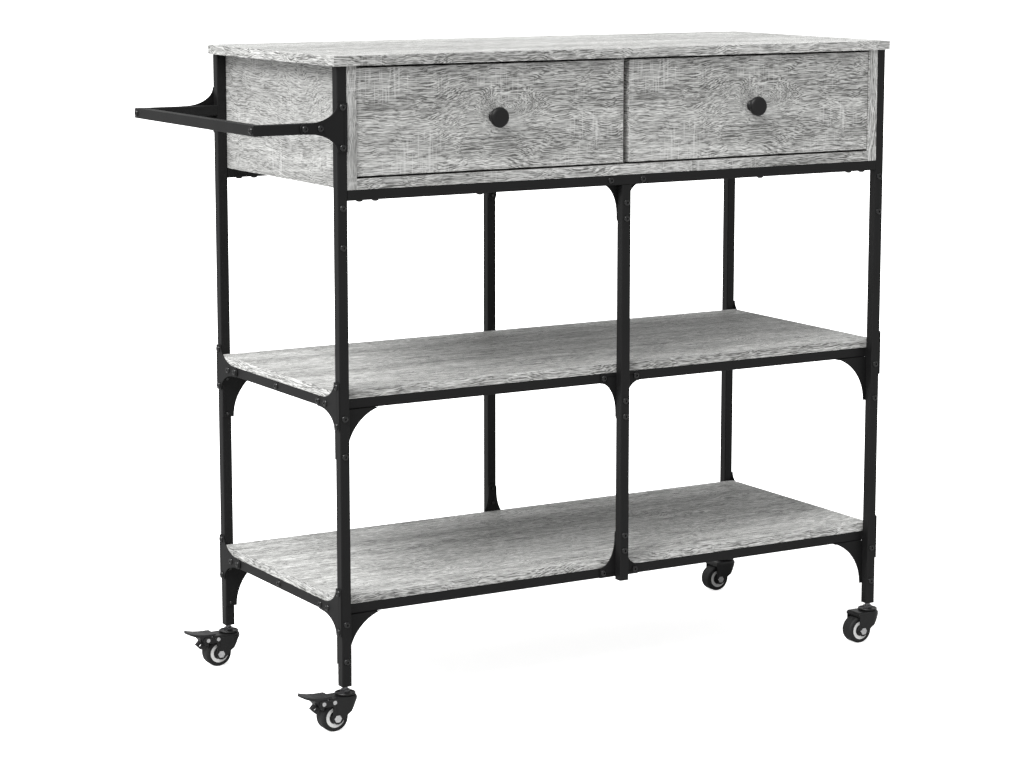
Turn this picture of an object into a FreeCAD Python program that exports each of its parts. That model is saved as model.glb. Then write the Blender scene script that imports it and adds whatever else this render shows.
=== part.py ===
"""Kitchen island cart on casters, as a parametric FreeCAD document.

A worktop and a two-drawer case stand in an open frame of square steel tube with two shelves,
bolted T-shaped and quarter-round joining plates, a towel handle on the left end and four
swivel casters, of which the left pair has brake pedals.

Places are measured from the outer front left corner of the frame, on the floor: X runs to the
right, Y to the rear and Z up. front_left_x and front_left_y move that corner so that the
origin is on the floor at the middle of the whole cart.
"""
import FreeCAD, Part
import math
import os
import re

import Sketcher

Vector = FreeCAD.Vector

DIMENSIONS = {
    # frame
    "front_left_x": -414.95,
    "front_left_y": -202.05,
    "frame_length": 950,
    "frame_depth": 410,
    "tube_size": 15,
    "tube_wall": 1.2,
    "tube_corner": 1.5,
    "plate_thickness": 2,
    "post_foot": 62,
    "top_underside": 940,
    "post_splice_height": 716.5,
    "splice_length": 84,
    "splice_bolt": 27.5,
    "foot_plug_length": 25,
    "arm_plug_length": 20,
    "centre_post_foot": 158,
    "upper_rail_height": 754,
    "middle_rail_height": 458,
    "lower_rail_height": 162,
    "rail_screw_outer": 37,
    "rail_screw_inner": 62,
    "rail_screw_middle": 230,
    # T-shaped joining plate
    "plate_arm": 34,
    "plate_web": 45,
    "plate_stem": 57.5,
    "plate_arm_bolt": 28,
    "plate_stem_bolt": 34,
    # quarter-round corner plate
    "gusset_reach": 55,
    "gusset_drop": 69,
    "gusset_edge": 3,
    "gusset_radius": 72,
    "gusset_lip": 51,
    "gusset_upper_bolt": 10,
    "gusset_lower_bolt": 64,
    # boards
    "top_thickness": 14,
    "top_overhang_end": 5.8,
    "top_overhang_side": 3.3,
    "board": 15,
    "shelf_thickness": 13,
    "dowel_radius": 4,
    "dowel_length": 30,
    "dowel_inset": 60,
    "dowel_depth": 8,
    # drawers
    "front_recess": 3,
    "front_gap": 3,
    "front_end_gap": 1,
    "front_meeting_gap": 10,
    "drawer_board": 12,
    "drawer_floor": 5,
    "drawer_groove": 4,
    "drawer_depth": 360,
    "drawer_side_lift": 11,
    "drawer_side_height": 112,
    "drawer_floor_lift": 10,
    "runner_space": 12.5,
    "runner_height": 35,
    "runner_sheet": 1.2,
    "runner_length": 350,
    "runner_lift": 30,
    "runner_setback": 4,
    "runner_nesting": 1.5,
    "knob_screw_head": 4,
    "knob_screw_grip": 11,
    "knob_radius": 14.5,
    "knob_length": 22,
    "knob_neck_radius": 6.5,
    # handle
    "handle_height": 856,
    "handle_reach": 127,
    # button-head bolts
    "bolt_radius": 2.5,
    "bolt_clearance": 0.1,
    "bolt_head_radius": 5,
    "bolt_head_height": 2.6,
    "bolt_socket": 3,
    "plate_bolt_length": 10,
    "tube_bolt_length": 19,
    "board_bolt_length": 26,
    # casters
    "wheel_radius": 21,
    "wheel_width": 22,
    "rim_radius": 14.6,
    "rim_inner_radius": 9.6,
    "hub_boss_radius": 6,
    "hub_dish": 2,
    "caster_trail": 21,
    "axle_radius": 3,
    "axle_hexagon": 10,
    "axle_head_height": 2.5,
    "axle_nut_height": 3.5,
    "pin_radius": 2,
    "running_gap": 0.05,
    "fork_radius": 17,
    "fork_sheet": 1.8,
    "fork_top": 50,
    "fork_leg": 6.2,
    "fork_rounding": 4,
    "plain_fork_back": 28.5,
    "braked_fork_back": 50,
    "hood_back": 31,
    "kingpin_radius": 4,
    "cup_radius": 15,
    "cup_floor": 2.2,
    "stem_reach": 22,
    "stem_nut_hexagon": 13,
    "stem_nut_height": 5,
    "pedal_width": 28,
    "pedal_tip": 73,
    "pedal_tip_radius": 19,
    "rivet_head_height": 1.2,
    "pivot_back": 42,
    "pivot_height": 45,
    "spring_pin_back": 25,
}

doc = FreeCAD.newDocument("kitchen_island_cart")
dims = doc.addObject("Spreadsheet::Sheet", "Dims")


def fill_sheet():
    """Each driving dimension gets one row: its name, its value in mm and an alias."""
    for row, (alias, value) in enumerate(DIMENSIONS.items(), start=1):
        dims.set(f"A{row}", alias)
        dims.set(f"B{row}", str(value))
        dims.setAlias(f"B{row}", alias)
    doc.recompute()


fill_sheet()


# ---------------------------------------------------------------- helpers

def linked(text):
    """Turn a formula that uses dimension names into an expression on the sheet."""
    return re.sub(r"[a-z_]{3,}", lambda word: f"Dims.{word.group(0)}", text)


def bind(obj, prop, text):
    obj.setExpression(prop, linked(text))


def turned(x_dir, y_dir):
    """Rotation that lays the local X and Y along two directions of the cart."""
    x_axis = Vector(*x_dir)
    y_axis = Vector(*y_dir)
    return FreeCAD.Rotation(x_axis, y_axis, x_axis.cross(y_axis), "XYZ")


def sideways():
    """Rotation that turns a piece's own Z to the cart's Y."""
    return turned((1, 0, 0), (0, 0, -1))


def place(obj, x, y, z, rotation=FreeCAD.Rotation(), on_frame=True):
    """Place an object from formulas, measured from the frame's corner or from the origin."""
    obj.Placement = FreeCAD.Placement(Vector(), rotation)
    start_x = "front_left_x + " if on_frame else ""
    start_y = "front_left_y + " if on_frame else ""
    bind(obj, "Placement.Base.x", f"{start_x}({x})")
    bind(obj, "Placement.Base.y", f"{start_y}({y})")
    bind(obj, "Placement.Base.z", z)
    return obj


def box(name, corner, size, on_frame=True):
    obj = doc.addObject("Part::Box", name)
    for prop, text in zip(("Length", "Width", "Height"), size):
        bind(obj, prop, text)
    return place(obj, *corner, on_frame=on_frame)


def cylinder(name, start, radius, length, rotation=FreeCAD.Rotation(), on_frame=True):
    obj = doc.addObject("Part::Cylinder", name)
    bind(obj, "Radius", radius)
    bind(obj, "Height", length)
    return place(obj, *start, rotation=rotation, on_frame=on_frame)


def hexagon(name, start, across_flats, length, rotation=FreeCAD.Rotation(), on_frame=True):
    obj = doc.addObject("Part::Prism", name)
    obj.Polygon = 6
    bind(obj, "Circumradius", f"({across_flats}) * {1 / math.sqrt(3):.9f}")
    bind(obj, "Height", length)
    return place(obj, *start, rotation=rotation, on_frame=on_frame)


def ellipse_rod(name, centre, major, minor, length, rotation, on_frame=True):
    """Elliptical cylinder whose local X is the major axis and local Z is its length."""
    outline = doc.addObject("Part::Ellipse", f"{name}_outline")
    bind(outline, "MajorRadius", major)
    bind(outline, "MinorRadius", minor)
    place(outline, *centre, rotation=rotation, on_frame=on_frame)
    rod = doc.addObject("Part::Extrusion", name)
    rod.Base = outline
    rod.DirMode = "Custom"
    rod.Dir = rotation.multVec(Vector(0, 0, 1))
    rod.Solid = True
    bind(rod, "LengthFwd", length)
    return rod


def cut(name, base, tools):
    obj = doc.addObject("Part::Cut", name)
    obj.Base = base
    obj.Tool = tools[0] if len(tools) == 1 else fuse(f"{name}_tools", tools)
    return obj


def fuse(name, parts):
    obj = doc.addObject("Part::MultiFuse", name)
    obj.Shapes = parts
    return obj


def group(name, parts):
    obj = doc.addObject("Part::Compound", name)
    obj.Links = parts
    return obj


def copy_of(master, name, x, y, z, rotation=FreeCAD.Rotation()):
    link = doc.addObject("App::Link", name)
    link.LinkedObject = master
    return place(link, x, y, z, rotation=rotation)


nodes = {}


def node(name, obj):
    """Register a finished piece: its label is its node's name and its file's name."""
    obj.Label = name
    nodes[name] = obj
    return obj


def from_end(side, inset, length="0"):
    """X of a piece that lies inset from the frame's left end, or mirrored at the right."""
    return inset if side == "left" else f"frame_length - ({inset}) - ({length})"


def from_face(face, inset, depth="0"):
    """Y of a piece that lies inset from the frame's front face, or mirrored at the rear."""
    return inset if face == "front" else f"frame_depth - ({inset}) - ({depth})"


SIDES = ("left", "right")
FACES = ("front", "rear")
OUTWARD = {"left": (-1, 0, 0), "right": (1, 0, 0), "front": (0, -1, 0), "rear": (0, 1, 0)}
DOWN = (0, 0, -1)
UP = (0, 0, 1)


# ---------------------------------------------------------------- sketches

def origin_plane(body, role):
    for feature in body.Origin.OriginFeatures:
        if feature.Role == role:
            return feature
    raise ValueError(f"{body.Name} has no {role}")


def outline_sketch(body, name, role, points):
    """Closed outline of straight lines, each corner dimensioned from the sketch's origin.

    points are pairs of formulas, so the outline follows the sheet.
    """
    sketch = body.newObject("Sketcher::SketchObject", name)
    sketch.AttachmentSupport = (origin_plane(body, role), [""])
    sketch.MapMode = "FlatFace"
    doc.recompute()
    corners = [tuple(number(text) for text in pair) for pair in points]
    count = len(corners)
    for index in range(count):
        start = Vector(*corners[index], 0)
        end = Vector(*corners[(index + 1) % count], 0)
        sketch.addGeometry(Part.LineSegment(start, end), False)
    for index in range(count):
        sketch.addConstraint(Sketcher.Constraint("Coincident", index, 2, (index + 1) % count, 1))
    for index, pair in enumerate(points):
        for kind, text, value in zip(("DistanceX", "DistanceY"), pair, corners[index]):
            made = sketch.addConstraint(Sketcher.Constraint(kind, -1, 1, index, 1, value))
            sketch.renameConstraint(made, f"{kind}{index}")
            sketch.setExpression(f".Constraints.{kind}{index}", linked(text))
    return sketch


def number(text):
    """The value of a formula, read from the sheet."""
    names = set(re.findall(r"[a-z_]{3,}", text))
    values = {name: float(dims.get(name)) for name in names}
    total = text
    for name in sorted(names, key=len, reverse=True):
        total = re.sub(rf"\b{name}\b", repr(values[name]), total)
    return FreeCAD.Units.Quantity(total).Value


def turned_piece(name, points):
    """Solid of revolution about Z. points are (radius, height) pairs of formulas."""
    body = doc.addObject("PartDesign::Body", name)
    sketch = outline_sketch(body, f"{name}_outline", "XZ_Plane", points)
    turn = body.newObject("PartDesign::Revolution", f"{name}_turn")
    turn.Profile = sketch
    turn.ReferenceAxis = (sketch, ["V_Axis"])
    turn.Angle = 360
    doc.recompute()
    return body


def pressed_piece(name, points, width):
    """Outline in the XZ plane, padded to both sides of it. points are (x, z) pairs."""
    body = doc.addObject("PartDesign::Body", name)
    sketch = outline_sketch(body, f"{name}_outline", "XZ_Plane", points)
    pad = body.newObject("PartDesign::Pad", f"{name}_pad")
    pad.Profile = sketch
    pad.SideType = "Symmetric"
    bind(pad, "Length", width)
    doc.recompute()
    return body


# ---------------------------------------------------------------- bolts and their holes

def make_bolt(name, length):
    """Button-head bolt: domed head above Z 0, hexagon socket, shank below."""
    dome = [
        ("0", "0 - {0}".format(length)),
        ("bolt_radius - 0.5", "0 - {0}".format(length)),
        ("bolt_radius", "0.5 - {0}".format(length)),
        ("bolt_radius", "0"),
        ("bolt_head_radius", "0"),
        ("bolt_head_radius", "bolt_head_height * 0.22"),
        ("bolt_head_radius * 0.93", "bolt_head_height * 0.52"),
        ("bolt_head_radius * 0.79", "bolt_head_height * 0.77"),
        ("bolt_head_radius * 0.6", "bolt_head_height * 0.93"),
        ("bolt_head_radius * 0.4", "bolt_head_height"),
        ("0", "bolt_head_height"),
    ]
    bolt = turned_piece(f"{name}_turned", dome)
    socket = hexagon(f"{name}_socket", ("0", "0", "bolt_head_height * 0.3"), "bolt_socket",
                     "2 * bolt_head_height", on_frame=False)
    return cut(name, bolt, [socket])


BOLTS = {
    kind: make_bolt(kind, f"{kind}_length")
    for kind in ("plate_bolt", "tube_bolt", "board_bolt")
}
BORES = {
    kind: group(f"{kind}_bore", [cylinder(
        f"{kind}_bore_rod", ("0", "0", f"0 - {kind}_length - 1"),
        "bolt_radius + bolt_clearance", f"{kind}_length + 2", on_frame=False)])
    for kind in BOLTS
}

frame_bolts = []
bores = {}


def bolt(kind, x, y, z, facing, through):
    """Put a bolt whose head faces one way, and note its hole in each piece it passes."""
    rotation = FreeCAD.Rotation(Vector(0, 0, 1), Vector(*facing))
    number_used = len(frame_bolts) + 1
    frame_bolts.append(copy_of(BOLTS[kind], f"bolt_{number_used}", x, y, z, rotation))
    for name in through:
        hole = copy_of(BORES[kind], f"bore_{number_used}_{name}", x, y, z, rotation)
        bores.setdefault(name, []).append(hole)


def bored(name, blank):
    """The blank with every hole that the bolts need in it."""
    holes = bores.pop(name, None)
    if not holes:
        return blank
    obj = doc.addObject("Part::Cut", f"{name}_bored")
    obj.Base = blank
    obj.Tool = group(f"{name}_holes", holes)
    return obj


# ---------------------------------------------------------------- square tube

def long_edges(shape, axis):
    """Indices of a box's four edges along one axis."""
    found = []
    for index, edge in enumerate(shape.Edges, start=1):
        start, end = (vertex.Point for vertex in edge.Vertexes)
        if abs((end - start).normalize().dot(axis)) > 0.99:
            found.append(index)
    return found


def tube(name, corner, axis, length, closed=False):
    """Square tube from its low corner, along X, Y or Z, with rounded long edges."""
    thick = ["tube_size"] * 3
    hollow = ["tube_size - 2 * tube_wall"] * 3
    inner_corner = [f"{text} + tube_wall" for text in corner]
    index = "XYZ".index(axis)
    thick[index] = length
    hollow[index] = f"{length} - 2 * tube_wall" if closed else f"{length} + 2"
    if not closed:
        inner_corner[index] = f"{corner[index]} - 1"
    solid = box(f"{name}_solid", corner, thick)
    doc.recompute()
    along = Vector(*(1.0 if letter == axis else 0.0 for letter in "XYZ"))
    smooth = doc.addObject("Part::Fillet", f"{name}_smooth")
    smooth.Base = solid
    radius = number("tube_corner")
    smooth.Edges = [(edge, radius, radius) for edge in long_edges(solid.Shape, along)]
    return cut(f"{name}_tube", smooth, [box(f"{name}_hollow", inner_corner, hollow)])


LEVELS = {"middle": "middle_rail_height", "lower": "lower_rail_height"}
RAIL_INSET = "tube_size + plate_thickness"
CENTRE_X = "frame_length / 2"


def frame_tubes():
    """Blanks of the posts and rails, before their bolt holes are cut."""
    blanks = {}
    for side in SIDES:
        x = from_end(side, "0", "tube_size")
        for face in FACES:
            y = from_face(face, "0", "tube_size")
            name = f"post_{face}_{side}"
            lower = tube(f"{name}_lower", (x, y, "post_foot"), "Z", "post_splice_height - post_foot")
            blanks[name] = lower
            upper = tube(f"{name}_upper", (x, y, "post_splice_height"), "Z",
                         "top_underside - post_splice_height")
            blanks[f"{name}_upper"] = upper
    for face in FACES:
        y = from_face(face, "0", "tube_size")
        blanks[f"post_{face}_centre"] = tube(
            f"post_{face}_centre", (f"{CENTRE_X} - tube_size / 2", y, "centre_post_foot"), "Z",
            "upper_rail_height - centre_post_foot", closed=True)
        blanks[f"upper_rail_{face}"] = tube(
            f"upper_rail_{face}", ("tube_size", y, "upper_rail_height"), "X",
            "frame_length - 2 * tube_size")
        for level, height in LEVELS.items():
            blanks[f"{level}_rail_{face}"] = tube(
                f"{level}_rail_{face}",
                ("tube_size", from_face(face, RAIL_INSET, "tube_size"), height), "X",
                "frame_length - 2 * tube_size")
    for level, height in LEVELS.items():
        for side in SIDES:
            blanks[f"{level}_rail_{side}"] = tube(
                f"{level}_rail_{side}", (from_end(side, "0", "tube_size"), "tube_size", height),
                "Y", "frame_depth - 2 * tube_size")
    arm_height = "handle_height - tube_size / 2"
    for face in FACES:
        blanks[f"handle_arm_{face}"] = tube(
            f"handle_arm_{face}",
            ("tube_size - handle_reach", from_face(face, "0", "tube_size"), arm_height), "X",
            "handle_reach - tube_size")
    blanks["handle_bar"] = tube(
        "handle_bar", ("0 - handle_reach", "0", arm_height), "Y", "frame_depth", closed=True)
    return blanks


# ---------------------------------------------------------------- joining plates

def make_t_plate():
    """T-shaped plate: arm along X, stem along Y, with hollow curves between them."""
    half = "tube_size / 2"
    arm = box("t_plate_arm", ("0 - plate_arm", f"0 - {half}", "0"),
              ("2 * plate_arm", "tube_size", "plate_thickness"), on_frame=False)
    web = box("t_plate_web", ("0 - plate_arm", half, "0"),
              ("2 * plate_arm", "plate_web", "plate_thickness"), on_frame=False)
    stem = box("t_plate_stem", (f"0 - {half}", "0", "0"),
               ("tube_size", "plate_stem", "plate_thickness"), on_frame=False)
    tip = cylinder("t_plate_tip", ("0", "plate_stem", "0"), half, "plate_thickness", on_frame=False)
    upright = turned((0, 1, 0), (-1, 0, 0))
    curves = [
        ellipse_rod(f"t_plate_curve_{name}", (f"{sign} * plate_arm", f"{half} + plate_web", "0 - 1"),
                    "plate_web", f"plate_arm - {half}", "plate_thickness + 2", upright, on_frame=False)
        for name, sign in (("left", -1), ("right", 1))
    ]
    flat = fuse("t_plate_flat", [arm, cut("t_plate_curved", web, curves), stem, tip])
    bolt_places = [("0 - plate_arm_bolt", "0"), ("plate_arm_bolt", "0"),
                   ("0", "plate_stem_bolt"), ("0", "plate_stem")]
    holes = [
        cylinder(f"t_plate_hole_{index}", (x, y, "0 - 1"), "bolt_radius + bolt_clearance",
                 "plate_thickness + 2", on_frame=False)
        for index, (x, y) in enumerate(bolt_places, start=1)
    ]
    return cut("t_plate", flat, holes)


def put_t_plates():
    """Sixteen equal plates: on the ends, behind the centre posts and at the handle."""
    plate = make_t_plate()
    plates = []
    half = "tube_size / 2"

    def put(x, y, z, arm_dir, stem_dir):
        rotation = turned(arm_dir, stem_dir)
        plates.append(copy_of(plate, f"t_plate_{len(plates) + 1}", x, y, z, rotation))

    def reversed_dir(direction):
        return tuple(-value for value in direction)

    for side in SIDES:
        surface = from_end(side, "0")
        head = from_end(side, "0 - plate_thickness")
        for face in FACES:
            inward = reversed_dir(OUTWARD[face])
            arm_dir = tuple(Vector(*inward).cross(Vector(*OUTWARD[side])))
            y = from_face(face, half)
            for level, height in LEVELS.items():
                z = f"{height} + {half}"
                put(surface, y, z, arm_dir, inward)
                for offset in ("0 - plate_arm_bolt", "plate_arm_bolt"):
                    bolt("plate_bolt", head, y, f"{z} + {offset}", OUTWARD[side],
                         [f"post_{face}_{side}"])
                for offset in ("plate_stem_bolt", "plate_stem"):
                    bolt("plate_bolt", head, from_face(face, f"{half} + {offset}"), z,
                         OUTWARD[side], [f"{level}_rail_{side}"])

    for face in FACES:
        outward = OUTWARD[face]
        inward = reversed_dir(outward)
        post = f"post_{face}_centre"
        front_of_rail = from_face(face, "tube_size")
        post_front = from_face(face, "0")
        for level, height, stem_dir, sign in (
                ("upper", "upper_rail_height", DOWN, -1),
                ("middle", "middle_rail_height", DOWN, -1),
                ("lower", "lower_rail_height", UP, 1)):
            z = f"{height} + {half}"
            arm_dir = tuple(Vector(*stem_dir).cross(Vector(*inward)))
            put(CENTRE_X, front_of_rail, z, arm_dir, stem_dir)
            kind = "tube_bolt" if level == "upper" else "plate_bolt"
            head_y = post_front if level == "upper" else front_of_rail
            for offset in ("0 - plate_arm_bolt", "plate_arm_bolt"):
                bolt(kind, f"{CENTRE_X} + {offset}", head_y, z, outward, [f"{level}_rail_{face}"])
            for offset in ("plate_stem_bolt", "plate_stem"):
                bolt("tube_bolt", CENTRE_X, post_front, f"{z} + {sign} * {offset}", outward, [post])

    for face in FACES:
        outward = OUTWARD[face]
        arm_dir = tuple(Vector(-1, 0, 0).cross(Vector(*outward)))
        put(half, from_face(face, "0"), "handle_height", arm_dir, (-1, 0, 0))
        head = from_face(face, "0 - plate_thickness")
        for offset in ("0 - plate_arm_bolt", "plate_arm_bolt"):
            bolt("plate_bolt", half, head, f"handle_height + {offset}", outward,
                 [f"post_{face}_left_upper"])
        for offset in ("plate_stem_bolt", "plate_stem"):
            bolt("plate_bolt", f"{half} - {offset}", head, "handle_height", outward,
                 [f"handle_arm_{face}"])
    return node("t_plates", group("t_plates", plates))


def gusset(name, side, face, height):
    """Quarter-round plate behind a post and under a rail, with a lip that carries the rail."""
    behind = from_face(face, "tube_size", "plate_thickness")
    web = box(f"{name}_web", (from_end(side, "0", "tube_size + gusset_reach"), behind,
                              f"{height} - gusset_drop"),
              ("tube_size + gusset_reach", "plate_thickness", "gusset_drop"))
    centre = from_end(side, "tube_size + gusset_edge + gusset_radius")
    curve = cylinder(f"{name}_curve", (centre, f"{behind} - 1", f"{height} - gusset_drop"),
                     "gusset_radius", "plate_thickness + 2", sideways())
    lip = box(f"{name}_lip", (from_end(side, "tube_size", "gusset_lip"),
                              from_face(face, RAIL_INSET, "tube_size"),
                              f"{height} - plate_thickness"),
              ("gusset_lip", "tube_size", "plate_thickness"))
    return fuse(f"{name}_plate", [cut(f"{name}_curved", web, [curve]), lip])


def put_gussets():
    """Two bolts through the post and one up through the lip, the rail and the shelf."""
    half = "tube_size / 2"
    gussets = []
    for level, height in LEVELS.items():
        for face in FACES:
            for side in SIDES:
                name = f"gusset_{level}_{face}_{side}"
                blank = gusset(name, side, face, height)
                for drop in ("gusset_upper_bolt", "gusset_lower_bolt"):
                    bolt("tube_bolt", from_end(side, half), from_face(face, "0"),
                         f"{height} - {drop}", OUTWARD[face], [f"post_{face}_{side}", name])
                bolt("board_bolt", from_end(side, "tube_size + gusset_reach * 0.6"),
                     from_face(face, f"{RAIL_INSET} + {half}"), f"{height} - plate_thickness", DOWN,
                     [f"{level}_rail_{face}", name, f"{level}_shelf"])
                gussets.append(bored(name, blank))
    return node("corner_gussets", group("corner_gussets", gussets))


def put_loose_bolts():
    """Bolts of the post splices, the side rails, the case and the handle bar."""
    half = "tube_size / 2"
    for face in FACES:
        y = from_face(face, "0")
        for side in SIDES:
            post = f"post_{face}_{side}"
            for offset, piece in (("splice_bolt", f"{post}_upper"), ("0 - splice_bolt", post)):
                bolt("plate_bolt", from_end(side, half), y, f"post_splice_height + {offset}",
                     OUTWARD[face], [piece, f"{post}_splice"])
            for inset in ("rail_screw_outer", "rail_screw_inner", "rail_screw_middle"):
                bolt("board_bolt", from_end(side, inset), from_face(face, half),
                     "upper_rail_height", DOWN, [f"upper_rail_{face}", "bottom_panel"])
        bolt("board_bolt", "0 - handle_reach", from_face(face, half), "handle_height",
             OUTWARD["left"], ["handle_bar", f"handle_arm_{face}_plug"])
    for level, height in LEVELS.items():
        for side in SIDES:
            bolt("plate_bolt", from_end(side, "0"), "frame_depth / 2", f"{height} + {half}",
                 OUTWARD[side], [f"{level}_rail_{side}"])


# ---------------------------------------------------------------- case and shelves

INSIDE_LEFT = "tube_size + board"
CASE_FLOOR = "upper_rail_height + tube_size"


def put_case():
    """Worktop, two ends, floor, back and divider of the drawer case, and both shelves."""
    blanks = {
        "tabletop": box(
            "tabletop_board",
            ("0 - top_overhang_end", "0 - top_overhang_side", "top_underside"),
            ("frame_length + 2 * top_overhang_end", "frame_depth + 2 * top_overhang_side",
             "top_thickness")),
        "bottom_panel": box(
            "bottom_board", (INSIDE_LEFT, "0", CASE_FLOOR),
            (f"frame_length - 2 * ({INSIDE_LEFT})", "frame_depth", "board")),
        "back_panel": box(
            "back_board", (INSIDE_LEFT, "frame_depth - board", f"{CASE_FLOOR} + board"),
            (f"frame_length - 2 * ({INSIDE_LEFT})", "board",
             f"top_underside - board - ({CASE_FLOOR})")),
        "centre_divider": box(
            "divider_board",
            (f"{CENTRE_X} - board / 2", "front_recess + board + 1", f"{CASE_FLOOR} + board"),
            ("board", "frame_depth - front_recess - 2 * board - 1",
             f"top_underside - board - ({CASE_FLOOR})")),
    }
    for side in SIDES:
        blanks[f"side_panel_{side}"] = box(
            f"side_board_{side}", (from_end(side, "tube_size", "board"), "0", CASE_FLOOR),
            ("board", "frame_depth", f"top_underside - ({CASE_FLOOR})"))
    for level, height in LEVELS.items():
        blanks[f"{level}_shelf"] = box(
            f"{level}_board", ("0", RAIL_INSET, f"{height} + tube_size"),
            ("frame_length", f"frame_depth - 2 * ({RAIL_INSET})", "shelf_thickness"))

    dowels = []
    dowel_holes = {}

    def dowel(x, y, z, rotation, pieces):
        name = f"dowel_{len(dowels) + 1}"
        dowels.append(cylinder(name, (x, y, z), "dowel_radius", "dowel_length", rotation))
        for piece in pieces:
            dowel_holes.setdefault(piece, []).append(dowels[-1])

    upright = FreeCAD.Rotation()
    lengthwise = FreeCAD.Rotation(Vector(0, 0, 1), Vector(1, 0, 0))
    for y in ("dowel_inset", "frame_depth - dowel_inset"):
        for side in SIDES:
            dowel(from_end(side, "tube_size + board / 2"), y,
                  "top_underside - dowel_length + dowel_depth", upright, ["tabletop", f"side_panel_{side}"])
            dowel(from_end(side, f"{INSIDE_LEFT} - dowel_depth", "dowel_length"), y,
                  f"{CASE_FLOOR} + board / 2", lengthwise, [f"side_panel_{side}", "bottom_panel"])
        dowel(CENTRE_X, y, "top_underside - dowel_length + dowel_depth", upright,
              ["tabletop", "centre_divider"])
        dowel(CENTRE_X, y, f"{CASE_FLOOR} + board - dowel_depth", upright,
              ["bottom_panel", "centre_divider"])
    for name, blank in blanks.items():
        if name in dowel_holes:
            blank = cut(f"{name}_doweled", blank, dowel_holes[name])
        node(name, bored(name, blank))
    node("case_dowels", group("case_dowels", dowels))


# ---------------------------------------------------------------- drawers

def channel(name, corner, depth, height, open_side):
    """Folded C-shaped runner along Y. open_side says which way its mouth looks along X."""
    block = box(f"{name}_block", corner, (depth, "runner_length", height))
    inset = "runner_sheet" if open_side > 0 else "0 - 1"
    x, y, z = corner
    hollow = box(f"{name}_mouth", (f"{x} + {inset}", f"{y} - 1", f"{z} + runner_sheet"),
                 (f"{depth} - runner_sheet + 1", "runner_length + 2",
                  f"{height} - 2 * runner_sheet"))
    return cut(name, block, [hollow])


def drawer(side):
    """Front, two sides, back, floor, knob and moving runners. Returns the fixed runners."""
    name = f"drawer_{side}"
    bay_start = INSIDE_LEFT if side == "left" else f"{CENTRE_X} + board / 2"
    bay_width = f"({CENTRE_X} - board / 2 - ({INSIDE_LEFT}))"
    front_face = "front_recess"
    front_back = "front_recess + board"
    floor_z = f"{CASE_FLOOR} + board"
    front_start = (f"{INSIDE_LEFT} + front_end_gap" if side == "left"
                   else f"{CENTRE_X} + front_meeting_gap / 2")
    front_width = f"{CENTRE_X} - ({INSIDE_LEFT}) - front_end_gap - front_meeting_gap / 2"
    front_z = f"{floor_z} + front_gap"
    front_height = f"top_underside - front_gap - ({front_z})"

    box_left = f"{bay_start} + runner_space"
    box_width = f"({bay_width} - 2 * runner_space)"
    side_z = f"{floor_z} + drawer_side_lift"
    back_y = f"{front_back} + drawer_depth - drawer_board"

    floor = box(f"{name}_floor_board",
                (f"{box_left} + drawer_board - drawer_groove", f"{front_back} - drawer_groove",
                 f"{side_z} + drawer_floor_lift"),
                (f"{box_width} - 2 * (drawer_board - drawer_groove)",
                 "drawer_depth - drawer_board + 2 * drawer_groove", "drawer_floor"))
    sides = [
        cut(f"{name}_side_{index}",
            box(f"{name}_side_{index}_board", (x, front_back, side_z),
                ("drawer_board", "drawer_depth", "drawer_side_height")), [floor])
        for index, x in enumerate((box_left, f"{box_left} + {box_width} - drawer_board"), start=1)
    ]
    back = cut(f"{name}_back_grooved",
               box(f"{name}_back_board", (f"{box_left} + drawer_board", back_y, side_z),
                   (f"{box_width} - 2 * drawer_board", "drawer_board", "drawer_side_height")),
               [floor])

    knob_x = f"({front_start}) + ({front_width}) / 2"
    knob_z = f"({front_z}) + ({front_height}) / 2"
    forward = FreeCAD.Rotation(Vector(0, 0, 1), Vector(0, -1, 0))
    screw_bore = cylinder(f"{name}_screw_bore", (knob_x, f"{front_back} + 1", knob_z),
                          "pin_radius", "board + 2", forward)
    front = cut(f"{name}_front_grooved",
                box(f"{name}_front_board", (front_start, front_face, front_z),
                    (front_width, "board", front_height)), [floor, screw_bore])
    knob = copy_of(KNOB, f"{name}_knob_turned", knob_x, front_face, knob_z, forward)
    screw = copy_of(KNOB_SCREW, f"{name}_knob_screw", knob_x, front_back, knob_z, forward)

    node(f"{name}_front", front)
    node(f"{name}_sides", group(f"{name}_sides", sides))
    node(f"{name}_back", back)
    node(f"{name}_floor", group(f"{name}_floor", [floor]))
    node(f"{name}_knob", group(f"{name}_knob", [knob, screw]))

    runner_z = f"{side_z} + runner_lift"
    runner_y = f"{front_back} + runner_setback"
    inner_height = "runner_height - 2 * (runner_sheet + runner_nesting)"
    fixed = []
    moving = []
    for index, opening in (("1", 1), ("2", -1)):
        if opening > 0:
            fixed_x = bay_start
            moving_x = f"{box_left} - (runner_space - 3)"
        else:
            fixed_x = f"{bay_start} + {bay_width} - (runner_space - 2)"
            moving_x = f"{box_left} + {box_width}"
        fixed.append(channel(f"{name}_fixed_{index}", (fixed_x, runner_y, runner_z),
                             "runner_space - 2", "runner_height", opening))
        moving.append(channel(f"{name}_moving_{index}",
                              (moving_x, runner_y, f"{runner_z} + runner_sheet + runner_nesting"),
                              "runner_space - 3", inner_height, -opening))
    node(f"{name}_runners", group(f"{name}_runners", moving))
    return fixed


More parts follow.
